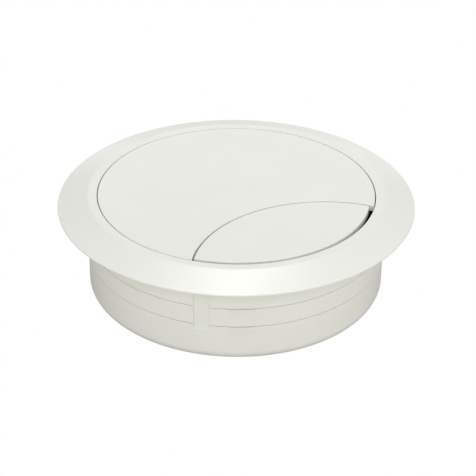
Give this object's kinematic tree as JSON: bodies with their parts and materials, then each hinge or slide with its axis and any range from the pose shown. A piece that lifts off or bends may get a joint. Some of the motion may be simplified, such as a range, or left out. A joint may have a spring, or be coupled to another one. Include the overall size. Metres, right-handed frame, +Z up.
{
  "type": "desk grommet",
  "caption": "Round cable grommet for a hole in a desk: flanged sleeve, flush lift-out cap and a leaf-shaped sprung flap that opens for cables.",
  "frame": {"origin": "centre of the flange's underside, in the plane of the desk top", "axes": "+Z up out of the desk along the barrel's axis; +X to the right and +Y away from the user, with the outlet towards +X and -Y"},
  "size_m": [0.095, 0.095, 0.0274],
  "materials": {
    "white_plastic": "fine satin moulded white",
    "pin_steel": "drawn bright steel",
    "spring_steel": "oiled spring wire"
  },
  "bodies": {
    "sleeve": {"sleeve": "white_plastic"},
    "cap": {"cap": "white_plastic", "hinge_pin": "pin_steel", "torsion_spring": "spring_steel"},
    "flap": {"flap": "white_plastic"}
  },
  "joints": [
    {"name": "cap_lift", "type": "slide", "parent": "sleeve", "child": "cap", "axis": [0, 0, 1], "range_m": [0, 0.03]},
    {"name": "flap_hinge", "type": "hinge", "parent": "cap", "child": "flap", "pos_m": [0.00391, -0.00651, -0.0013], "axis": [0.8572, 0.515, 0], "range_deg": [0, 55], "stiffness_Nm_per_rad": 0.0033, "springref_deg": -25.78, "deforming": ["torsion_spring"]}
  ]
}
